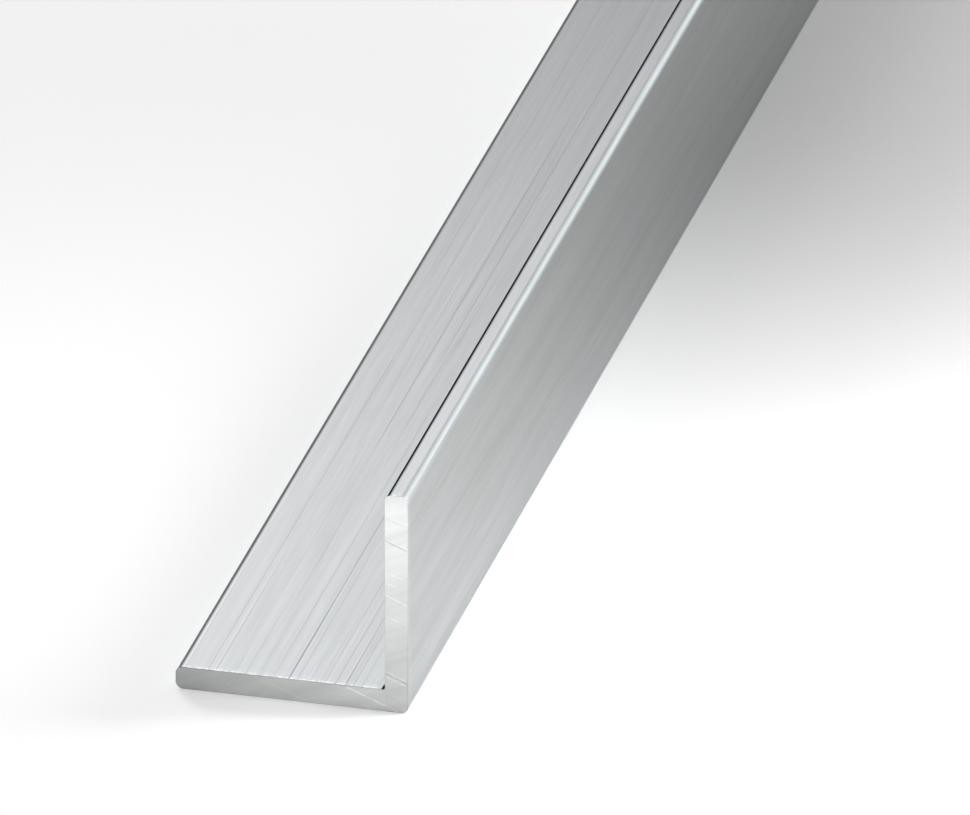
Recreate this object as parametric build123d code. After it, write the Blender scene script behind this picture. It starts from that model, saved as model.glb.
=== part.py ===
# Equal-leg angle section: one length of extruded aluminium stock with rounded outer edges
# and square sawn ends. It lies on one leg, with the other leg standing up at +X.
# The origin is on the underside, midway between the leg tip and the heel and between the
# two sawn ends. The length runs along Y.
from build123d import *
import os

# Driving dimensions, in millimetres
leg_width = 30.0  # outside, from the heel to either leg's tip
leg_thickness = 3.0
edge_radius = 0.9  # heel, and both edges of each leg's tip
root_radius = 0.35  # inside corner, where the legs meet
bar_length = 1000.0

# Places worked out from them
heel_x = leg_width / 2
tip_x = heel_x - leg_width
root_x = heel_x - leg_thickness


def make_profile():
    """The L section, seen from the front end: X to the right, Z up."""
    with BuildSketch(Plane.XZ) as profile:
        with BuildLine():
            Polyline(
                (heel_x, 0),
                (heel_x, leg_width),
                (root_x, leg_width),
                (root_x, leg_thickness),
                (tip_x, leg_thickness),
                (tip_x, 0),
                close=True,
            )
        make_face()
        root_corner = profile.vertices().sort_by_distance((root_x, leg_thickness))[0]
        outer_corners = profile.vertices() - [root_corner]
        fillet(outer_corners, edge_radius)
        root_corner = profile.vertices().sort_by_distance((root_x, leg_thickness))[0]
        fillet(root_corner, root_radius)
    return profile.sketch


def make_angle_section():
    """The bar: the section drawn out evenly to both sides of the origin."""
    angle_section = extrude(make_profile(), amount=bar_length / 2, both=True)
    angle_section.label = "angle_section"
    return angle_section


os.makedirs("parts", exist_ok=True)
export_step(make_angle_section(), "parts/angle_section.step")
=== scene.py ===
# Angle section in mill-finish aluminium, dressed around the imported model.
# One bar: lying leg to -X, standing leg at +X, length along Y, front sawn end at -Y.
import math
import random

import bpy
from mathutils import Matrix, Vector, noise
from mathutils.geometry import delaunay_2d_cdt


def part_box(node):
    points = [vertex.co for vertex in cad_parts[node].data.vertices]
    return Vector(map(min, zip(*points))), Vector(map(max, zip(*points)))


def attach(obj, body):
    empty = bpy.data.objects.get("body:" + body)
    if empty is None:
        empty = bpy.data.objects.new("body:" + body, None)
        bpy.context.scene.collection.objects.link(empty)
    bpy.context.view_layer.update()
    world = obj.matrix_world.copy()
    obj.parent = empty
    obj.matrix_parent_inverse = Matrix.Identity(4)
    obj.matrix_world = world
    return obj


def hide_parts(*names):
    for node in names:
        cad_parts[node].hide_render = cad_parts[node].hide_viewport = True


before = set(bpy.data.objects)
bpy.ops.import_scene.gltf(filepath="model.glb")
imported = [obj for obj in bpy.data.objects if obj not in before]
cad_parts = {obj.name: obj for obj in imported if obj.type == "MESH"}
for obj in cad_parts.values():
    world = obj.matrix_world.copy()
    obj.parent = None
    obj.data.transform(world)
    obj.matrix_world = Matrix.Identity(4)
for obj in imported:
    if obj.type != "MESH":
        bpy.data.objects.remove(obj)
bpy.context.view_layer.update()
mm = 0.001

# the bar's shape

bar = {
    "node": "angle_section",
    "slot": "mill_aluminium",
    "legThickness": 3.0 * mm,
    "edgeRadius": 0.9 * mm,  # heel and both edges of each leg's tip
    "edgeSteps": 18,  # segments in each rounded edge
    "rootRadius": 0.35 * mm,  # inside corner
    "rootSteps": 6,
    "faceStep": 2.0 * mm,  # widest spacing of points across the flat faces
    "edgePlaces": (0.08 * mm, 0.2 * mm),  # from a rounding to the first points of a flat face
    "ringStep": 12.5 * mm,  # spacing of cross sections along the bar
    # the first full sections from each cut
    "endRings": (0.15 * mm, 0.3 * mm, 0.5 * mm, 0.9 * mm, 1.3 * mm, 1.7 * mm),
    # how far the metal is burnished next to a cut, down to none at the last of those
    "endWear": 0.4,
    "burnishAndHighlightTurn": (8.0, 28.0),  # degrees round a rounding where its paler colour, burnish and partly a painted highlight, starts and is full
    # how dark the painted shade is by degrees round the left-hand rounding of each leg: a dark
    # reflection painted along them
    "standingPaintedShade": [(0, 0.14), (8, 0.42), (18, 1.0), (43, 1.0), (50, 0.0)],
    "lyingPaintedShade": [(0, 0.14), (8, 0.40), (15, 0.86), (39, 0.86), (46, 0.0)],
    # painted shade in the inside corner at the front: full up to, ends
    "cornerShadeLength": (1.15 * mm, 1.6 * mm),
    "cornerShadeReach": 0.47 * mm,  # from the inside corner, on both faces
    "outerGrain": 0.25,  # how coarse the outer faces' streaks are, against 1 on the inner ones
    # shares of the streaks' contrast near the front end and beyond
    "streakShares": {"inner": (1.05, 1.38), "outer": (1.3, 0.95), "edge": (1.8, 1.8)},
    "streakTurn": (40 * mm, 80 * mm),
    "paintedGlint": (0.3 * mm, 0.55 * mm),  # painted glints behind the front cut: full up to, end
}
nodeLow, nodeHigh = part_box(bar["node"])
heelX, tipX = nodeHigh.x, nodeLow.x
rootX = heelX - bar["legThickness"]

# shallow lines that the die drew along the bar; each comes and goes
dieLines = {
    "seed": 11,
    "gap": (0.6 * mm, 2.2 * mm),  # from one line to the next
    "width": (0.12 * mm, 0.22 * mm),
    "depth": 0.004 * mm,  # of a line at full strength
    "strength": (0.08, 0.42),
    "outerStrength": 0.15,  # share of that on the two outer faces
    "brightShare": 0.35,  # of the lines; a bright line has a strength below 0
    "brightGain": 0.3,
    "length": (35 * mm, 170 * mm),
    "rest": (15 * mm, 120 * mm),  # bare stretch between two runs of a line
    "fade": 9 * mm,
    "margin": 0.3 * mm,  # kept clear of the rounded edges
    "chosenReach": 150 * mm,  # on a face with chosen lines the drawn ones start beyond this
    # near the front: from the heel, width, and runs of first, last and strength, in mm
    "lying": [
        (28.98, 0.14, [(-20, 56, -0.90)]),
        (28.7, 0.16, [(-20, 36, 0.20), (60, 92, 0.14), (150, 190, 0.14)]),
        (27.1, 0.18, [(112, 160, 0.34)]),
        (26.35, 0.16, [(36, 60, -0.24), (60, 94, -0.36), (150, 188, -0.24)]),
        (26.0, 0.18, [(116, 144, -0.28), (146, 235, 0.30)]),
        (25.8, 0.18, [(-20, 100, 0.42)]),
        (25.4, 0.16, [(85, 150, 0.25)]),
        (25.1, 0.16, [(-20, 20, -0.60), (10, 38, -0.36), (118, 152, -0.26)]),
        (24.8, 0.16, [(-20, 32, 0.44), (90, 124, -0.30), (146, 200, 0.18)]),
        (24.5, 0.14, [(-20, 18, -0.32)]),
        (23.7, 0.16, [(62, 100, 0.22), (150, 200, 0.18)]),
        (23.4, 0.14, [(90, 124, -0.34)]),
        (23.1, 0.16, [(46, 74, 0.18), (90, 126, 0.28)]),
        (22.4, 0.16, [(-20, 80, 0.24), (90, 122, -0.28)]),
        (22.1, 0.16, [(116, 154, -0.46)]),
        (21.75, 0.14, [(58, 94, -0.52)]),
        (21.5, 0.20, [(66, 168, 0.55)]),
        (21.0, 0.16, [(-20, 22, 0.30), (62, 122, -0.40)]),
        (20.2, 0.16, [(16, 54, 0.30), (150, 190, -0.40)]),
        (19.8, 0.18, [(-20, 18, -0.28), (92, 220, 0.38)]),
        (19.5, 0.14, [(90, 124, -0.40)]),
        (19.25, 0.16, [(-20, 18, 0.18), (64, 102, 0.30)]),
        (19.0, 0.14, [(148, 188, -0.32)]),
        (18.8, 0.16, [(90, 128, 0.36)]),
        (18.5, 0.14, [(-20, 18, -0.30)]),
        (18.1, 0.16, [(90, 124, -0.30)]),
        (17.4, 0.18, [(-20, 88, 0.36)]),
        (17.0, 0.16, [(14, 38, -0.24)]),
        (15.7, 0.14, [(-20, 18, -0.45)]),
        (15.4, 0.20, [(-20, 30, 0.95), (0, 90, 0.60)]),
        (15.1, 0.16, [(-20, 40, -0.62)]),
        (14.7, 0.16, [(-20, 18, -0.46)]),
        (14.3, 0.16, [(-20, 64, 0.34)]),
        (13.0, 0.16, [(-20, 18, -0.46)]),
        (12.6, 0.16, [(-20, 28, 0.22)]),
        (11.7, 0.16, [(-20, 18, -0.42)]),
        (11.3, 0.14, [(-20, 18, 0.26)]),
        (10.8, 0.16, [(-20, 46, 0.36)]),
        (10.4, 0.16, [(-20, 20, -0.54)]),
        (9.8, 0.14, [(-20, 18, -0.36)]),
        (9.4, 0.18, [(-20, 34, 0.48)]),
        (8.4, 0.16, [(-20, 18, -0.70)]),
        (8.1, 0.20, [(-20, 18, 0.66), (0, 34, 0.30)]),
        (7.8, 0.14, [(-20, 18, -0.34)]),
        (7.1, 0.16, [(-20, 20, 0.44)]),
        (6.0, 0.16, [(-20, 18, 0.34)]),
        (3.9, 0.16, [(-20, 16, 0.28)]),
    ],
    "side": [
        (1.35, 0.22, [(82, 420, 0.34)]),
        (2.4, 0.16, [(58, 94, 0.20)]),
        (6.0, 0.16, [(-20, 16, 0.18)]),
        (7.2, 0.16, [(58, 94, 0.16)]),
        (9.2, 0.16, [(34, 64, 0.17)]),
        (12.2, 0.16, [(-20, 16, 0.20)]),
        (13.3, 0.16, [(14, 40, 0.18)]),
        (14.6, 0.16, [(-20, 16, -0.26)]),
        (20.2, 0.16, [(58, 94, 0.17)]),
        (21.8, 0.16, [(148, 190, 0.17)]),
    ],
}


def roundedCorner(corner, before, after, radius, steps):
    # points round a corner, from the side of the corner before it to the side of the one after
    toBefore = (before - corner).normalized()
    toAfter = (after - corner).normalized()
    centre = corner + (toBefore + toAfter) * radius
    points = []
    for step in range(steps + 1):
        turn = step / steps * math.pi / 2
        offset = toAfter * radius * math.cos(turn)
        points.append(centre - offset - toBefore * radius * math.sin(turn))
    return points


def drawLines(length, share, rng):
    # the die lines of one face: place across it, width, and the runs of each line along the bar
    lines = []
    place = dieLines["margin"] + rng.uniform(*dieLines["gap"])
    while place < length - dieLines["margin"]:
        runs = []
        y = nodeLow.y - rng.uniform(0, dieLines["rest"][1])
        while y < nodeHigh.y:
            end = y + rng.uniform(*dieLines["length"])
            bright = -1.0 if rng.random() < dieLines["brightShare"] else 1.0
            runs.append((y, end, rng.uniform(*dieLines["strength"]) * share * bright))
            y = end + rng.uniform(*dieLines["rest"])
        lines.append((place, rng.uniform(*dieLines["width"]), runs))
        place += rng.uniform(*dieLines["gap"])
    return lines


def chosenLines(face, startsAt, lines):
    # puts the chosen lines of a face, which starts this far from the heel, among its drawn ones
    chosen = []
    for fromHeel, width, runs in dieLines[face]:
        moved = []
        for start, end, strength in runs:
            moved.append((nodeLow.y + start * mm, nodeLow.y + end * mm, strength))
        chosen.append((fromHeel * mm - startsAt, width * mm, moved))
    chosenEnd = nodeLow.y + dieLines["chosenReach"]
    kept = []
    for place, width, runs in lines:
        if all(abs(place - other[0]) > (width + other[1]) / 2 for other in chosen):
            kept.append((place, width, [run for run in runs if run[0] > chosenEnd]))
    return sorted(kept + chosen, key=lambda line: line[0])


def flatPoints(start, end, lines):
    # points between two rounded corners: each holds its place and the runs of the line it is on
    along = end - start
    length = along.length
    along.normalize()
    steps = max(2, math.ceil(length / bar["faceStep"]))
    even = [length * step / steps for step in range(1, steps)]
    edges = list(bar["edgePlaces"])
    places = [(place, None) for place in edges + even + [length - place for place in edges]]
    for middle, width, runs in lines:
        places = [p for p in places if abs(p[0] - middle) > width]
    for middle, width, runs in lines:
        places += [(middle - width / 2, None), (middle, runs), (middle + width / 2, None)]
    places.sort(key=lambda p: p[0])
    return [(start + along * place, runs) for place, runs in places]


def lineStrength(runs, y):
    # how strong a die line is at a place along the bar, below 0 for a bright one
    strength = 0.0
    for start, end, full in runs or []:
        inside = min(y - start, end - y) / dieLines["fade"]
        here = full * min(1.0, max(0.0, inside))
        strength = here if abs(here) > abs(strength) else strength
    return strength


def between(stops, place):
    # reads a value off a list of places and values
    for (start, first), (end, last) in zip(stops, stops[1:]):
        if place < end:
            return first + (last - first) * max(0.0, (place - start) / (end - start))
    return stops[-1][1]


# how far a rounding takes its paler colour, burnish and partly a painted highlight, by degrees
# round it
def burnishAndHighlightAt(turn):
    starts, full = bar["burnishAndHighlightTurn"]
    share = min(1.0, max(0.0, (turn - starts) / (full - starts)))
    return share * share * (3 - 2 * share)


def profileLoop():
    # the L in X and Z, going round with the metal on the left; each entry is a point and its marks
    rng = random.Random(dieLines["seed"])
    height, thick = nodeHigh.z, bar["legThickness"]
    edge, root = (bar["edgeRadius"], bar["edgeSteps"]), (bar["rootRadius"], bar["rootSteps"])
    clean = [(0, 0.0), (90, 0.0)]
    # each corner: place, rounding, its painted shade, whether the face after it is an outer one
    corners = [
        ((heelX, 0), edge, clean, True),
        ((heelX, height), edge, clean, False),
        ((rootX, height), edge, bar["standingPaintedShade"], False),
        ((rootX, thick), root, clean, False),
        ((tipX, thick), edge, bar["lyingPaintedShade"], False),
        ((tipX, 0), edge, clean, True),
    ]
    arcs = []
    for index, corner in enumerate(corners):
        before = Vector(corners[index - 1][0])
        after = Vector(corners[(index + 1) % len(corners)][0])
        arcs.append(roundedCorner(Vector(corner[0]), before, after, *corner[1]))
    loop = []
    for index, arc in enumerate(arcs):
        place, rounding, paintedShade, outer = corners[index]
        grain = bar["outerGrain"] if outer else 1.0
        start, end = arc[-1], arcs[(index + 1) % len(arcs)][0]
        lines = drawLines((end - start).length, dieLines["outerStrength"] if outer else 1.0, rng)
        if place == (rootX, thick):
            lines = chosenLines("lying", heelX - start.x, lines)
        if place == (heelX, 0):
            lines = chosenLines("side", start.y, lines)
        for step, point in enumerate(arc):
            # the turn goes from 0 at the face before this rounding to 90 at the one after
            turn = 90.0 * step / (len(arc) - 1)
            # the left-hand roundings take painted shade, a dark reflection painted along them
            given = {"grain": grain, "paintedShade": between(paintedShade, turn)}
            # the roundings are paler, as burnish and partly as a painted highlight
            given["rounding"] = burnishAndHighlightAt(90.0 - turn if place == (heelX, height) else turn)
            given["cornerShade"] = rounding is root
            given["streaks"] = bar["streakShares"]["edge"]
            loop.append((point, given, None))
        streaks = bar["streakShares"]["outer" if outer else "inner"]
        for point, runs in flatPoints(start, end, lines):
            # points next to the inside corner take painted shade near the front cut
            nearRoot = (point - Vector((rootX, thick))).length < bar["cornerShadeReach"]
            given = {"rounding": 0.0, "paintedShade": 0.0, "grain": grain, "cornerShade": nearRoot}
            given["streaks"] = streaks
            loop.append((point, given, runs))
    return loop


def outwardNormals(points):
    normals = []
    for index in range(len(points)):
        along = (points[(index + 1) % len(points)] - points[index - 1]).normalized()
        normals.append(Vector((along.y, -along.x)))
    return normals


# the sawn ends

sawnEnd = {
    "gridStep": 0.1 * mm,
    "backGridStep": 0.2 * mm,
    "gridMargin": 0.05 * mm,
    "edgeBreak": 0.035 * mm,  # rounding that the saw leaves round the cut
    "edgeBreakRings": [(1.0, 0.0), (0.293, 0.293), (0.0, 1.0)],  # its shares: inward, along the bar
    "edgeBreakChange": 1.8,  # how much a noise from -0.5 to 0.5 varies it
    "edgeBreakLeast": 0.3,
    "edgeBreakRate": 900.0,  # per metre along the edge
    "edgeBreakSeed": 7.0,  # times the cut's place along the bar, so that the two ends differ
    "cutEdgeShade": 0.5,  # painted shade on the cut's edge, this far from the heel and more
    "cutEdgeShadeFrom": 23.5 * mm,
    # level of the cut's colour by distance in mm along the section from the lying leg's tip: partly
    # the cut's tone and partly painted light, darkest at the lying tip and lightest at the top of
    # the standing leg
    "toneAndLightLevels": [
        (0, 0.40),
        (5, 0.50),
        (17, 0.565),
        (25, 0.572),
        (30, 0.50),
        (33, 0.51),
        (37, 0.60),
        (41, 0.645),
        (45, 0.735),
        (53, 0.88),
        (60, 0.872),
    ],
    "slope": math.radians(22.5),  # the saw lines fall to the right by this
    "lineDepth": 0.0035 * mm,
    "lineRates": (2600.0, 90.0),  # of the fine saw lines per metre: across them, along them
    "waveDepth": 0.006 * mm,
    "waveRates": (420.0, 40.0),
    "waveSeed": 5.0,  # added to the seed of the cut
    "frontSeed": 3.0,
    "backSeed": 17.0,
    "markWidth": 0.2 * mm,
    "markClear": 0.75,  # share of that width round a mark that the even points leave free
    "markStep": 0.12 * mm,
    "markEndTone": 0.5,  # share of its tone at a mark's two ends
    "markChange": 1.2,  # how much a noise from -0.5 to 0.5 varies the tone
    "markRate": 1500.0,  # of that noise per metre
    "markSeed": 9.0,
    "markDepth": 0.02 * mm,  # of a mark whose tone is 1
    # saw marks on the front end, from the heel in mm: left end, right end, tone
    "marks": [
        (-2.7, 26.65, -0.5, 25.9, -0.14),
        (-2.0, 26.66, -1.6, 26.55, 0.10),
        (-2.94, 23.62, -0.2, 22.5, -0.34),
        (-2.9, 19.25, -0.3, 18.45, 0.10),
        (-2.8, 18.5, -2.55, 18.45, 0.14),
        (-2.8, 18.15, -2.6, 18.1, 0.12),
        (-2.7, 17.75, -1.5, 17.45, 0.14),
        (-2.85, 16.12, -0.15, 14.95, 0.24),
        (-2.9, 13.2, -1.2, 12.6, 0.14),
        (-0.45, 12.3, -0.25, 12.2, 0.14),
        (-2.85, 5.5, -0.2, 4.4, 0.18),
        (-2.95, 5.28, -0.2, 4.12, -0.30),
        (-2.85, 4.78, -0.2, 3.78, 0.30),
        (-3.6, 2.72, -0.4, 1.75, 0.08),
        (-3.0, 2.95, -0.5, 2.1, 0.08),
        (-7.9, 2.75, -1.4, 0.15, 0.46),
        (-3.6, 0.95, -1.6, 0.35, 0.10),
        (-8.2, 1.3, -4.8, 0.3, 0.08),
        (-19.8, 2.75, -12.9, 0.2, 0.12),
        (-25.5, 2.25, -21.0, 0.4, 0.05),
        (-28.8, 0.9, -26.8, 0.3, 0.10),
        (-1.35, 28.0, -1.25, 27.95, -0.22),
        (-2.25, 23.0, -2.15, 22.95, -0.16),
        (-0.72, 12.0, -0.66, 11.95, -0.20),
        (-1.96, 1.85, -1.88, 1.82, -0.22),
        (-23.15, 0.92, -23.05, 0.88, -0.22),
        (-23.2, 1.15, -23.05, 1.1, 0.16),
    ],
}


def markEnds(mark):
    left, leftHeight, right, rightHeight = mark[:4]
    start = Vector((heelX + left * mm, leftHeight * mm))
    return start, Vector((heelX + right * mm, rightHeight * mm))


def markPoints():
    # points along each mark of the front end, with its tone, and along both of its sides, with none
    points = []
    rate = sawnEnd["markRate"]
    for mark in sawnEnd["marks"]:
        start, end = markEnds(mark)
        aside = (end - start).orthogonal().normalized() * sawnEnd["markWidth"] / 2
        count = max(2, round((end - start).length / sawnEnd["markStep"]))
        for step in range(count + 1):
            place = start.lerp(end, step / count)
            noisePlace = Vector((place.x * rate, place.y * rate, sawnEnd["markSeed"]))
            uneven = 1 + sawnEnd["markChange"] * noise.noise(noisePlace)
            fade = sawnEnd["markEndTone"] if step in (0, count) else 1.0
            tone = mark[-1] * uneven * fade
            points += [(place, tone), (place + aside, 0.0), (place - aside, 0.0)]
    return points


def nearMark(place):
    # whether a place of the front end is on a saw mark
    clear = sawnEnd["markWidth"] * sawnEnd["markClear"]
    for mark in sawnEnd["marks"]:
        start, end = markEnds(mark)
        span = end - start
        share = min(1.0, max(0.0, (place - start).dot(span) / span.length_squared))
        if (place - start - span * share).length < clear:
            return True
    return False


def sawnDepth(x, z, front):
    # depth of the cut face below its plane
    side = 1.0 if front else -1.0
    across = x * math.sin(sawnEnd["slope"]) * side + z * math.cos(sawnEnd["slope"])
    along = x * math.cos(sawnEnd["slope"]) * side - z * math.sin(sawnEnd["slope"])
    seed = sawnEnd["frontSeed" if front else "backSeed"]
    lineAcross, lineAlong = sawnEnd["lineRates"]
    waveAcross, waveAlong = sawnEnd["waveRates"]
    lines = noise.noise(Vector((across * lineAcross, along * lineAlong, seed)))
    wavePlace = Vector((across * waveAcross, along * waveAlong, seed + sawnEnd["waveSeed"]))
    waves = noise.noise(wavePlace)
    # both noises run from about -0.5 to 0.5
    return max(0.0, sawnEnd["lineDepth"] * (0.5 + lines) + sawnEnd["waveDepth"] * (0.5 + waves))


def capTriangles(ring, front):
    # points inside a closed ring, each with the tone of its saw mark,
    # and triangles over the ring and the points
    margin = sawnEnd["gridMargin"]
    step = sawnEnd["gridStep"] if front else sawnEnd["backGridStep"]
    marked = markPoints() if front else []
    inside = [point for point in marked if insideBy(point[0].x, point[0].y, margin)]
    row = 0
    z = margin
    while z < nodeHigh.z - margin:
        x = tipX + margin + (row % 2) * step / 2
        while x < heelX - margin:
            place = Vector((x, z))
            if insideBy(x, z, margin) and not (front and nearMark(place)):
                inside.append((place, 0.0))
            x += step
        z += step * math.sqrt(3) / 2
        row += 1
    places = ring + [point[0] for point in inside]
    # only what is inside the ring is kept, and points closer than 1e-9 m are one
    made = delaunay_2d_cdt(places, [], [list(range(len(ring)))], 1, 1e-9)
    triangles, origins = made[2], made[3]
    return inside, [[origins[corner][0] for corner in triangle] for triangle in triangles]


def insideBy(x, z, margin):
    # whether a place lies in the L, this far from its outline
    thick, edge = bar["legThickness"], bar["edgeRadius"]
    lying = margin < z < thick - margin and tipX + margin < x < heelX - margin
    standing = rootX + margin < x < heelX - margin and margin < z < nodeHigh.z - margin
    if not (lying or standing):
        return False
    roundings = [
        (heelX, 0, -1, 1),
        (heelX, nodeHigh.z, -1, -1),
        (rootX, nodeHigh.z, 1, -1),
        (tipX, thick, 1, -1),
        (tipX, 0, 1, 1),
    ]
    for cornerX, cornerZ, towardX, towardZ in roundings:
        offsetX = edge - (x - cornerX) * towardX
        offsetZ = edge - (z - cornerZ) * towardZ
        if offsetX > 0 and offsetZ > 0 and math.hypot(offsetX, offsetZ) > edge - margin:
            return False
    return True


def ringPlaces():
    # places of the full sections: close together at each cut, then evenly between
    count = round((nodeHigh.y - nodeLow.y) / bar["ringStep"])
    inner = [nodeLow.y + (nodeHigh.y - nodeLow.y) * ring / count for ring in range(1, count)]
    front = [nodeLow.y + place for place in bar["endRings"]]
    back = [nodeHigh.y - place for place in reversed(bar["endRings"])]
    return front + inner + back


def wearAt(y):
    # how far the metal is burnished at this place along the bar, next to a cut
    fromCut = min(y - nodeLow.y, nodeHigh.y - y)
    return bar["endWear"] * max(0.0, 1 - fromCut / bar["endRings"][-1])


def frontShare(y, full, ends):
    # 1 from the front cut up to a distance, then down to 0 where it ends
    return min(1.0, max(0.0, (ends - (y - nodeLow.y)) / (ends - full)))


def sawToneAndLight(x, z):
    # level of the cut's colour at a place of the section: partly its tone, partly painted light
    along = x - tipX
    if x > rootX:
        along += (heelX - x + z) * min(1.0, z / bar["legThickness"])
    return between(sawnEnd["toneAndLightLevels"], along / mm)


def buildBar():
    loop = profileLoop()
    points = [entry[0] for entry in loop]
    normals = outwardNormals(points)
    count = len(loop)
    vertices, faces, uvs, finishes = [], [], [], []
    names = ("rounding", "paintedShade", "grain", "streaks", "dieLine", "paintedGlint", "sawToneAndLight", "markTone")
    marks = {name: [] for name in names}
    runs = [0.0]
    for index in range(count):
        runs.append(runs[-1] + (points[(index + 1) % count] - points[index]).length)

    def addVertex(place, **given):
        vertices.append(place)
        given["sawToneAndLight"] = sawToneAndLight(place[0], place[2])
        for name, values in marks.items():
            values.append(given.get(name, 0.0))

    def addRingVertex(place, given, strength, **changed):
        # a vertex of a section; its marks are the profile's, then the changed ones
        y = place[1] - nodeLow.y
        near, far = given["streaks"]
        turn = (y - bar["streakTurn"][0]) / (bar["streakTurn"][1] - bar["streakTurn"][0])
        streaks = near + (far - near) * min(1.0, max(0.0, turn))
        bright = max(0.0, -strength) * dieLines["brightGain"]
        lines = {"dieLine": max(0.0, strength), "markTone": bright}
        # painted glints behind the front cut, on the inner faces
        paintedGlint = frontShare(place[1], *bar["paintedGlint"]) if given["grain"] == 1.0 else 0.0
        addVertex(place, **dict(given, **lines, streaks=streaks, paintedGlint=paintedGlint, **changed))

    def addSection(y):
        # painted shade in the inside corner at the front
        cornerShade = frontShare(y, *bar["cornerShadeLength"])
        for index, (point, given, lineRuns) in enumerate(loop):
            strength = lineStrength(lineRuns, y)
            place = point - normals[index] * dieLines["depth"] * max(0.0, strength)
            paintedShade = cornerShade if given["cornerShade"] else given["paintedShade"]
            changed = {"paintedShade": paintedShade, "rounding": max(given["rounding"], wearAt(y))}
            addRingVertex((place.x, y, place.y), given, strength, **changed)

    def addCutEdge(inset, front, share):
        # one ring of the rounding that runs round a cut
        cutY, inward = (nodeLow.y, 1) if front else (nodeHigh.y, -1)
        for index, (point, given, lineRuns) in enumerate(loop):
            across = runs[index] * sawnEnd["edgeBreakRate"]
            breakNoise = noise.noise(Vector((across, cutY * sawnEnd["edgeBreakSeed"], 0.5)))
            varied = 1 + sawnEnd["edgeBreakChange"] * breakNoise
            size = sawnEnd["edgeBreak"] * max(sawnEnd["edgeBreakLeast"], varied)
            place = point - normals[index] * size * inset
            y = cutY + inward * (sawnDepth(point.x, point.y, front) + size * share)
            cornerShade = frontShare(y, *bar["cornerShadeLength"]) if given["cornerShade"] else 0.0
            paintedShade = max(given["paintedShade"], cornerShade) * share
            # painted shade on the cut's edge near the lying leg's tip
            if point.x < heelX - sawnEnd["cutEdgeShadeFrom"]:
                paintedShade = max(paintedShade, sawnEnd["cutEdgeShade"] * max(0.0, 0.5 + breakNoise))
            strength = lineStrength(lineRuns, y)
            changed = {"paintedShade": paintedShade, "rounding": bar["endWear"]}
            addRingVertex((place.x, y, place.y), given, strength, **changed)

    # rings from the front cut to the back cut
    for inset, share in sawnEnd["edgeBreakRings"]:
        addCutEdge(inset, True, share)
    for y in ringPlaces():
        addSection(y)
    for inset, share in reversed(sawnEnd["edgeBreakRings"]):
        addCutEdge(inset, False, share)
    bands = len(vertices) // count - 1
    endBands = len(sawnEnd["edgeBreakRings"]) - 1
    for ring in range(bands):
        atEnd = ring < endBands or ring >= bands - endBands
        for index in range(count):
            after = (index + 1) % count
            a, b = ring * count, (ring + 1) * count
            faces.append((a + index, a + after, b + after, b + index))
            near, far = vertices[a + index][1], vertices[b + index][1]
            here, there = runs[index], runs[index + 1]
            uvs.append([(here, near), (there, near), (there, far), (here, far)])
            finishes.append(1 if atEnd else 0)

    for front, first in ((True, 0), (False, len(vertices) - count)):
        ring = [Vector((x, z)) for x, y, z in vertices[first : first + count]]
        inside, triangles = capTriangles(ring, front)
        base = len(vertices)
        cutY, inward = (nodeLow.y, 1) if front else (nodeHigh.y, -1)
        for point, tone in inside:
            depth = sawnDepth(point.x, point.y, front) + abs(tone) * sawnEnd["markDepth"]
            addVertex((point.x, cutY + inward * depth, point.y), markTone=tone)
        for triangle in triangles:
            ids = [first + i if i < count else base + i - count for i in triangle]
            places = [(vertices[i][0], vertices[i][2]) for i in ids]
            turn = (places[1][0] - places[0][0]) * (places[2][1] - places[0][1])
            turn -= (places[1][1] - places[0][1]) * (places[2][0] - places[0][0])
            if (turn > 0) != front:
                ids.reverse()
                places.reverse()
            faces.append(tuple(ids))
            uvs.append(places)
            finishes.append(1)

    mesh = bpy.data.meshes.new("angleBar")
    mesh.from_pydata(vertices, [], faces)
    layer = mesh.uv_layers.new(name="alongBar")
    layer.data.foreach_set("uv", [value for faceUvs in uvs for uv in faceUvs for value in uv])
    mesh.polygons.foreach_set("material_index", finishes)
    mesh.polygons.foreach_set("use_smooth", [True] * len(faces))
    for name, values in marks.items():
        mesh.attributes.new(name, "FLOAT", "POINT").data.foreach_set("value", values)
    mesh.validate()
    mesh.update()
    piece = bpy.data.objects.new("angleBar", mesh)
    bpy.context.scene.collection.objects.link(piece)
    return piece


# finishes

millFinish = {
    "colour": (0.637, 0.652, 0.664, 1.0),
    "burnishAndHighlightColour": (0.729, 0.780, 0.791, 1.0),  # the roundings: paler as burnish and partly as a painted highlight
    "outerColour": (0.640, 0.654, 0.656, 1.0),  # the two outer faces
    # die lines darken towards this colour as oxide; the left-hand roundings, the inside corner at
    # the front and the cut's edge near the lying tip take it as painted shade
    "oxideAndShadeColour": (0.014, 0.015, 0.017, 1.0),
    # the colour of the painted glints behind the front cut
    "paintedGlintColour": (0.93, 0.94, 0.94, 1.0),
    "palest": (0.95, 0.95, 0.95),  # no mark makes the metal paler than this
    # painted glints behind the front cut: repeats per metre, then the noise where they start and
    # are full
    "glintFlecks": (2200.0, 0.44, 0.54),
    "lineShade": 0.76,  # how far a die line at full strength goes to the oxide colour
    "contrast": 0.20,  # of the streaks
    "roughness": 0.36,
    "roughnessChange": 0.03,
    "edgeRoughness": 0.32,
    "paintedShadeRoughness": 0.50,
    "anisotropic": 0.5,
    "grazingTint": 0.5,
    "bumpHeight": 0.003 * mm,
    # streaks: repeats per metre across and along, detail, and the limits that set their contrast
    "streaks": (280.0, 9.0, 4.5, 0.28, 0.72),
    # of the streaks' noise, on the outer faces and on the inner ones
    "grainRoughness": (0.78, 0.97),
}


def addNode(tree, kind, place, **settings):
    node = tree.nodes.new(kind)
    node.location = place
    for name, value in settings.items():
        setattr(node, name, value)
    return node


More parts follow.
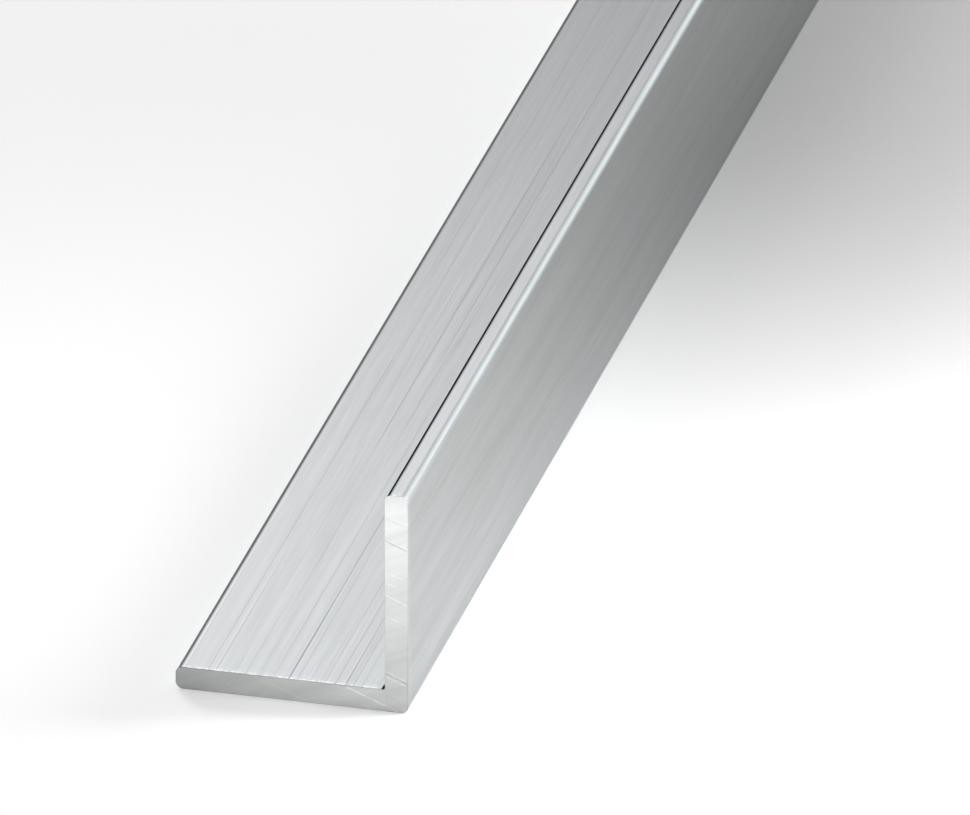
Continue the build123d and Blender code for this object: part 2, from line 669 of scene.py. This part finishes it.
def newGroup(name, result, kind, **inputs):
    # a node group with one result; gives the group and the nodes of its inputs and its result
    group = bpy.data.node_groups.new(name, "ShaderNodeTree")
    for title, socketKind in inputs.items():
        group.interface.new_socket(title, in_out="INPUT", socket_type="NodeSocket" + socketKind)
    group.interface.new_socket(result, in_out="OUTPUT", socket_type="NodeSocket" + kind)
    given = addNode(group, "NodeGroupInput", (-800, 0))
    return group, given.outputs, addNode(group, "NodeGroupOutput", (600, 0)).inputs[result]


def streakGroup():
    # long thin streaks: a noise drawn out along Y
    values = {name: "Float" for name in ("Across", "Along", "Detail", "Low", "High", "Roughness")}
    group, given, result = newGroup("drawnStreaks", "Streak", "Float", Place="Vector", **values)
    link = group.links.new
    scale = addNode(group, "ShaderNodeCombineXYZ", (-600, 0))
    link(given["Across"], scale.inputs["X"])
    link(given["Along"], scale.inputs["Y"])
    link(given["Across"], scale.inputs["Z"])
    stretch = addNode(group, "ShaderNodeVectorMath", (-400, 200), operation="MULTIPLY")
    link(given["Place"], stretch.inputs[0])
    link(scale.outputs["Vector"], stretch.inputs[1])
    grain = addNode(group, "ShaderNodeTexNoise", (-200, 200))
    grain.inputs["Scale"].default_value = 1.0
    link(stretch.outputs["Vector"], grain.inputs["Vector"])
    link(given["Detail"], grain.inputs["Detail"])
    link(given["Roughness"], grain.inputs["Roughness"])
    limits = addNode(group, "ShaderNodeMapRange", (100, 200))
    link(grain.outputs["Fac"], limits.inputs["Value"])
    link(given["Low"], limits.inputs["From Min"])
    link(given["High"], limits.inputs["From Max"])
    link(limits.outputs["Result"], result)
    return group


def toneGroup():
    # a colour made darker and paler by a streak from 0 to 1
    sockets = {"Colour": "Color", "Streak": "Float", "Contrast": "Float"}
    group, given, result = newGroup("streakTone", "Toned", "Color", **sockets)
    centred = addMath(group, (-500, 0), "SUBTRACT", given["Streak"], 0.5)
    shift = addMath(group, (-300, 0), "MULTIPLY", centred, given["Contrast"])
    tone = addNode(group, "ShaderNodeVectorMath", (100, 0), operation="SCALE")
    group.links.new(given["Colour"], tone.inputs[0])
    group.links.new(addMath(group, (-100, 0), "ADD", shift, 1.0), tone.inputs["Scale"])
    group.links.new(tone.outputs["Vector"], result)
    return group


def markGroup():
    # a colour made paler or darker by a mark on the mesh
    group, given, result = newGroup("markedTone", "Marked", "Color", Colour="Color", Mark="Float")
    marked = addNode(group, "ShaderNodeVectorMath", (0, 0), operation="SCALE")
    group.links.new(given["Colour"], marked.inputs[0])
    group.links.new(addMath(group, (-300, 0), "ADD", given["Mark"], 1.0), marked.inputs["Scale"])
    limited = addNode(group, "ShaderNodeVectorMath", (300, 0), operation="MINIMUM")
    group.links.new(marked.outputs["Vector"], limited.inputs[0])
    limited.inputs[1].default_value = millFinish["palest"]
    group.links.new(limited.outputs["Vector"], result)
    return group


def speckGroup():
    # small specks: a noise cut off below a limit
    sockets = {"Place": "Vector", "Rate": "Float", "Low": "Float", "High": "Float"}
    group, given, result = newGroup("specks", "Speck", "Float", **sockets)
    grain = addNode(group, "ShaderNodeTexNoise", (-300, 0))
    grain.inputs["Detail"].default_value = 1.0
    group.links.new(given["Place"], grain.inputs["Vector"])
    group.links.new(given["Rate"], grain.inputs["Scale"])
    limits = addNode(group, "ShaderNodeMapRange", (100, 0))
    group.links.new(grain.outputs["Fac"], limits.inputs["Value"])
    group.links.new(given["Low"], limits.inputs["From Min"])
    group.links.new(given["High"], limits.inputs["From Max"])
    group.links.new(limits.outputs["Result"], result)
    return group


def newMaterial(name):
    material = bpy.data.materials.new(name)
    material.use_nodes = True
    tree = material.node_tree
    tree.nodes.clear()
    shader = addNode(tree, "ShaderNodeBsdfPrincipled", (700, 0))
    output = addNode(tree, "ShaderNodeOutputMaterial", (1000, 0))
    tree.links.new(shader.outputs["BSDF"], output.inputs["Surface"])
    return material, tree, shader


def addEffect(tree, place, group, *given):
    # places a node group; its inputs get sockets or values, in their order
    node = addNode(tree, "ShaderNodeGroup", place)
    node.node_tree = group
    for socket, value in zip(node.inputs, given):
        if isinstance(value, (float, tuple)):
            socket.default_value = value
        else:
            tree.links.new(value, socket)
    return node.outputs[0]


def addMath(tree, place, operation, first, second):
    # a Math node over two inputs, each a socket or a number
    node = addNode(tree, "ShaderNodeMath", place, operation=operation)
    for index, given in enumerate((first, second)):
        if isinstance(given, (int, float)):
            node.inputs[index].default_value = given
        else:
            tree.links.new(given, node.inputs[index])
    return node.outputs["Value"]


def addMix(tree, place, kind, factor, first, second):
    # mixes two colours or two numbers, each a socket or a value
    node = addNode(tree, "ShaderNodeMix", place, data_type=kind)
    sockets = [socket for socket in node.inputs if socket.enabled]
    for socket, given in zip(sockets, (factor, first, second)):
        if isinstance(given, (int, float, tuple)):
            socket.default_value = given
        else:
            tree.links.new(given, socket)
    return next(socket for socket in node.outputs if socket.enabled)


def addMark(tree, place, name):
    # one of the marks that the mesh carries
    return addNode(tree, "ShaderNodeAttribute", place, attribute_name=name).outputs["Fac"]


def millAluminium(effects):
    material, tree, shader = newMaterial("millAluminium")
    link = tree.links.new
    place = addNode(tree, "ShaderNodeTexCoord", (-2200, 0)).outputs["Object"]
    # streaks, coarser on the inner faces than on the outer ones
    grain = addMark(tree, (-2200, -300), "grain")
    grainRough = addMix(tree, (-2000, -100), "FLOAT", grain, *millFinish["grainRoughness"])
    drawn = (place, *millFinish["streaks"], grainRough)
    streak = addEffect(tree, (-1800, 100), effects["streaks"], *drawn)
    share = addMark(tree, (-1800, -300), "streaks")
    contrast = addMath(tree, (-1600, -200), "MULTIPLY", share, millFinish["contrast"])
    # the metal, with its roundings, paler as burnish and partly as a painted highlight, its die
    # lines and painted glints
    rounding = addMark(tree, (-1600, -500), "rounding")
    outer, inner = millFinish["outerColour"], millFinish["colour"]
    plain = addMix(tree, (-1600, 400), "RGBA", grain, outer, inner)
    # the roundings paler: burnish and partly a painted highlight
    plain = addMix(tree, (-1400, 400), "RGBA", rounding, plain, millFinish["burnishAndHighlightColour"])
    toned = addEffect(tree, (-1200, 200), effects["tone"], plain, streak, contrast)
    paler = addMark(tree, (-1200, 0), "markTone")
    metal = addEffect(tree, (-900, 300), effects["marks"], toned, paler)
    # painted glints behind the front cut
    glintFlecks = addEffect(tree, (-1200, 700), effects["specks"], place, *millFinish["glintFlecks"])
    paintedGlint = addMath(tree, (-700, 600), "MULTIPLY", addMark(tree, (-900, 600), "paintedGlint"), glintFlecks)
    metal = addMix(tree, (-500, 300), "RGBA", paintedGlint, metal, millFinish["paintedGlintColour"])
    # the die lines' oxide and the painted shade over it
    dieLine = addMark(tree, (-600, -100), "dieLine")
    lineShade = addMath(tree, (-400, -100), "MULTIPLY", dieLine, millFinish["lineShade"])
    # painted shade: the left-hand roundings, the inside corner at the front and the cut's edge near
    # the lying tip
    paintedShade = addMark(tree, (-600, -300), "paintedShade")
    oxideAndShade = addMath(tree, (-200, -100), "MAXIMUM", lineShade, paintedShade)
    colour = addMix(tree, (200, 200), "RGBA", oxideAndShade, metal, millFinish["oxideAndShadeColour"])
    link(colour, shader.inputs["Base Color"])
    link(addMath(tree, (400, 0), "SUBTRACT", 1.0, paintedShade), shader.inputs["Metallic"])
    change = millFinish["roughnessChange"]
    rough = addNode(tree, "ShaderNodeMapRange", (-200, -300))
    rough.inputs["To Min"].default_value = millFinish["roughness"] + change
    rough.inputs["To Max"].default_value = millFinish["roughness"] - change
    link(streak, rough.inputs["Value"])
    faceRough = rough.outputs["Result"]
    edgeRough, paintedShadeRough = millFinish["edgeRoughness"], millFinish["paintedShadeRoughness"]
    metalRough = addMix(tree, (0, -300), "FLOAT", rounding, faceRough, edgeRough)
    fullRough = addMix(tree, (200, -300), "FLOAT", paintedShade, metalRough, paintedShadeRough)
    link(fullRough, shader.inputs["Roughness"])
    bump = addNode(tree, "ShaderNodeBump", (400, -400))
    bump.inputs["Strength"].default_value = 1.0
    bump.inputs["Distance"].default_value = millFinish["bumpHeight"]
    link(streak, bump.inputs["Height"])
    link(bump.outputs["Normal"], shader.inputs["Normal"])
    tangent = addNode(tree, "ShaderNodeTangent", (400, -600), direction_type="UV_MAP")
    tangent.uv_map = "alongBar"
    link(tangent.outputs["Tangent"], shader.inputs["Tangent"])
    shader.inputs["Specular IOR Level"].default_value = 0.0
    shader.inputs["Anisotropic"].default_value = millFinish["anisotropic"]
    shader.inputs["Specular Tint"].default_value = (millFinish["grazingTint"],) * 3 + (1.0,)
    return material


sawnFinish = {
    "colour": (0.977, 1.0, 0.993),  # times the level of the cut's tone and painted light
    "roughness": 0.5,
    "roughnessChange": 0.05,
    "contrast": 0.16,
    "sawLines": (420.0, 22.0, 4.0, 0.28, 0.72, 0.6),  # as the streaks, then their roughness
    # dark specks: repeats per metre, then the noise where they start and are full
    "specks": (2400.0, 0.73, 0.78),
    "speckShade": 0.30,
}


def sawnAluminium(effects):
    material, tree, shader = newMaterial("sawnAluminium")
    link = tree.links.new
    place = addNode(tree, "ShaderNodeTexCoord", (-1600, 0)).outputs["Object"]
    # turns the places so that the saw lines run along Y, where the streaks are long
    turned = addNode(tree, "ShaderNodeMapping", (-1400, 0), vector_type="POINT")
    turned.inputs["Rotation"].default_value = (0.0, sawnEnd["slope"], math.pi / 2)
    link(place, turned.inputs["Vector"])
    turnedPlace = turned.outputs["Vector"]
    lines = addEffect(tree, (-1100, 200), effects["streaks"], turnedPlace, *sawnFinish["sawLines"])
    # the cut's colour, with the painted light in its level
    level = addNode(tree, "ShaderNodeVectorMath", (-900, 400), operation="SCALE")
    level.inputs[0].default_value = sawnFinish["colour"]
    link(addMark(tree, (-1100, 400), "sawToneAndLight"), level.inputs["Scale"])
    plain = level.outputs["Vector"]
    metal = addEffect(tree, (-700, 200), effects["tone"], plain, lines, sawnFinish["contrast"])
    sawMark = addMark(tree, (-700, 0), "markTone")
    cut = addEffect(tree, (-300, 400), effects["marks"], metal, sawMark)
    # painted shade on the edge of the cut, and dark specks
    specks = addEffect(tree, (-700, 700), effects["specks"], place, *sawnFinish["specks"])
    specks = addMath(tree, (-300, 700), "MULTIPLY", specks, sawnFinish["speckShade"])
    specksAndShade = addMath(tree, (0, 0), "MAXIMUM", addMark(tree, (-200, 0), "paintedShade"), specks)
    colour = addMix(tree, (200, 200), "RGBA", specksAndShade, cut, millFinish["oxideAndShadeColour"])
    link(colour, shader.inputs["Base Color"])
    rough = addNode(tree, "ShaderNodeMapRange", (-200, -200))
    rough.inputs["To Min"].default_value = sawnFinish["roughness"] + sawnFinish["roughnessChange"]
    rough.inputs["To Max"].default_value = sawnFinish["roughness"] - sawnFinish["roughnessChange"]
    link(lines, rough.inputs["Value"])
    link(rough.outputs["Result"], shader.inputs["Roughness"])
    shader.inputs["Metallic"].default_value = 1.0
    return material


# studio

studio = {
    "floorSize": 400.0,
    "floorDrop": 0.02 * mm,
    "floorColour": (0.85, 0.85, 0.85, 1.0),
    "floorRoughness": 0.9,
    "floorGlow": 0.17,  # added for the camera and for reflections, so that the floor reads as white
    "worldLevel": 0.238,
    # soft glows in the world: direction, strength, tightness
    "worldGlows": [
        ((-0.75, -0.1, 0.65), 1.3, 5.0),
        ((0.3, 0.871, 0.38), 0.756, 15.0),
        ((0.49, 0.871, 0.05), 1.023, 30.0),
    ],
}

# softboxes: from the heel's front corner in metres, where each one is and where it aims;
# the spread in degrees keeps their light off the floor beneath them
softboxes = {
    "leftBack": {
        "place": (-0.9, 1.15, 0.6),
        "aim": (0.0, 0.1, 0.0),
        "size": (0.6, 0.4),
        "spread": 80,
        "watts": 2.28,
    },
    "topBack": {
        "place": (-0.12, 0.42, 0.24),
        "aim": (0.0, 0.03, 0.0),
        "size": (0.12, 0.1),
        "spread": 180,
        "watts": 0.04,
    },
    "overRight": {
        "place": (0.06, 0.01, 0.2),
        "aim": (0.04, 0.01, 0.0),
        "size": (0.06, 0.06),
        "spread": 40,
        "watts": 0.011,
    },
    "rightLow": {
        "place": (0.12, -0.02, 0.03),
        "aim": (0.0, 0.03, 0.01),
        "size": (0.06, 0.03),
        "spread": 180,
        "watts": 0.016,
    },
    "endLow": {
        "place": (-0.05, -0.3, 0.06),
        "aim": (0.0, 0.0, 0.015),
        "size": (0.2, 0.05),
        "spread": 60,
        "watts": 0.018,
    },
    "rightMid": {
        "place": (0.2, 0.1, 0.15),
        "aim": (0.0, 0.04, 0.0),
        "size": (0.1, 0.1),
        "spread": 50,
        "watts": 0.055,
    },
}

cameraSetup = {
    "turn": math.radians(14.264),  # from straight along the bar, round to its right
    "fall": math.radians(25.705),
    "lens": 1068.04,
    "sensorWidth": 36.0,
    "distance": 3.58815,
    "reach": 1000.0,  # how far it sees, to beyond the floor's far edge
    "aim": (5.195 * mm, 18.418 * mm, 34.426 * mm),  # from the heel's front corner
}


def studioPlace(offset):
    return Vector((heelX, nodeLow.y, 0)) + Vector(offset)


def makeFloor():
    half = studio["floorSize"] / 2
    mesh = bpy.data.meshes.new("floor")
    z = -studio["floorDrop"]
    corners = [(-half, -half, z), (half, -half, z), (half, half, z), (-half, half, z)]
    mesh.from_pydata(corners, [], [(0, 1, 2, 3)])
    floor = bpy.data.objects.new("floor", mesh)
    bpy.context.scene.collection.objects.link(floor)
    material, tree, shader = newMaterial("paleFloor")
    shader.inputs["Base Color"].default_value = studio["floorColour"]
    shader.inputs["Roughness"].default_value = studio["floorRoughness"]
    shader.inputs["Specular IOR Level"].default_value = 0.0
    shader.inputs["Emission Color"].default_value = (1.0, 1.0, 1.0, 1.0)
    rays = addNode(tree, "ShaderNodeLightPath", (-400, 0)).outputs
    seen = addMath(tree, (-200, 0), "MAXIMUM", rays["Is Camera Ray"], rays["Is Glossy Ray"])
    seen = addMath(tree, (0, 0), "MAXIMUM", seen, rays["Is Transmission Ray"])
    glow = addMath(tree, (200, 0), "MULTIPLY", seen, studio["floorGlow"])
    tree.links.new(glow, shader.inputs["Emission Strength"])
    mesh.materials.append(material)


def makeWorld():
    # an even level, with soft glows that fade off round their directions
    world = bpy.data.worlds.new("studioWorld")
    world.use_nodes = True
    tree = world.node_tree
    background = tree.nodes["Background"]
    background.inputs["Color"].default_value = (1.0, 1.0, 1.0, 1.0)
    coords = addNode(tree, "ShaderNodeTexCoord", (-1400, 0))
    ahead = addNode(tree, "ShaderNodeVectorMath", (-1200, 0), operation="NORMALIZE")
    tree.links.new(coords.outputs["Generated"], ahead.inputs[0])
    total = None
    for index, (direction, strength, tightness) in enumerate(studio["worldGlows"]):
        y = -250 * index
        facing = addNode(tree, "ShaderNodeVectorMath", (-1000, y), operation="DOT_PRODUCT")
        tree.links.new(ahead.outputs["Vector"], facing.inputs[0])
        facing.inputs[1].default_value = Vector(direction).normalized()
        away = addMath(tree, (-800, y), "SUBTRACT", facing.outputs["Value"], 1.0)
        fall = addMath(tree, (-600, y), "MULTIPLY", away, tightness)
        share = addMath(tree, (-400, y), "EXPONENT", fall, 0.0)
        glow = addMath(tree, (-200, y), "MULTIPLY", share, strength)
        total = addMath(tree, (0, y), "ADD", glow, studio["worldLevel"] if total is None else total)
    tree.links.new(total, background.inputs["Strength"])
    bpy.context.scene.world = world


def makeSoftbox(name, box):
    data = bpy.data.lights.new(name, "AREA")
    data.shape = "RECTANGLE"
    data.size, data.size_y = box["size"]
    data.energy = box["watts"]
    data.spread = math.radians(box["spread"])
    lamp = bpy.data.objects.new(name, data)
    lamp.location = studioPlace(box["place"])
    toAim = studioPlace(box["aim"]) - lamp.location
    lamp.rotation_euler = toAim.to_track_quat("-Z", "Y").to_euler()
    lamp.visible_camera = False
    bpy.context.scene.collection.objects.link(lamp)


def makeCamera():
    turn, fall = cameraSetup["turn"], cameraSetup["fall"]
    level = math.cos(fall)
    ahead = Vector((-math.sin(turn) * level, math.cos(turn) * level, -math.sin(fall)))
    right = Vector((math.cos(turn), math.sin(turn), 0))
    up = right.cross(ahead)
    place = studioPlace(cameraSetup["aim"]) - ahead * cameraSetup["distance"]
    data = bpy.data.cameras.new("camera")
    data.sensor_width = cameraSetup["sensorWidth"]
    data.lens = cameraSetup["lens"]
    data.clip_end = cameraSetup["reach"]
    camera = bpy.data.objects.new("camera", data)
    axes = Matrix((right, up, -ahead)).transposed().to_4x4()
    camera.matrix_world = Matrix.Translation(place) @ axes
    bpy.context.scene.collection.objects.link(camera)
    bpy.context.scene.camera = camera


makeCamera()
makeFloor()
makeWorld()
for boxName, box in softboxes.items():
    makeSoftbox(boxName, box)
print("studio ready")

angleBar = buildBar()
effects = {
    "streaks": streakGroup(),
    "tone": toneGroup(),
    "marks": markGroup(),
    "specks": speckGroup(),
}
angleBar.data.materials.append(millAluminium(effects))
angleBar.data.materials.append(sawnAluminium(effects))
print("finishes ready")
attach(angleBar, "root")
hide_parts(bar["node"])
print("bar built:", len(angleBar.data.vertices), "points,", len(angleBar.data.polygons), "faces")

bpy.context.scene.view_settings.view_transform = "Standard"
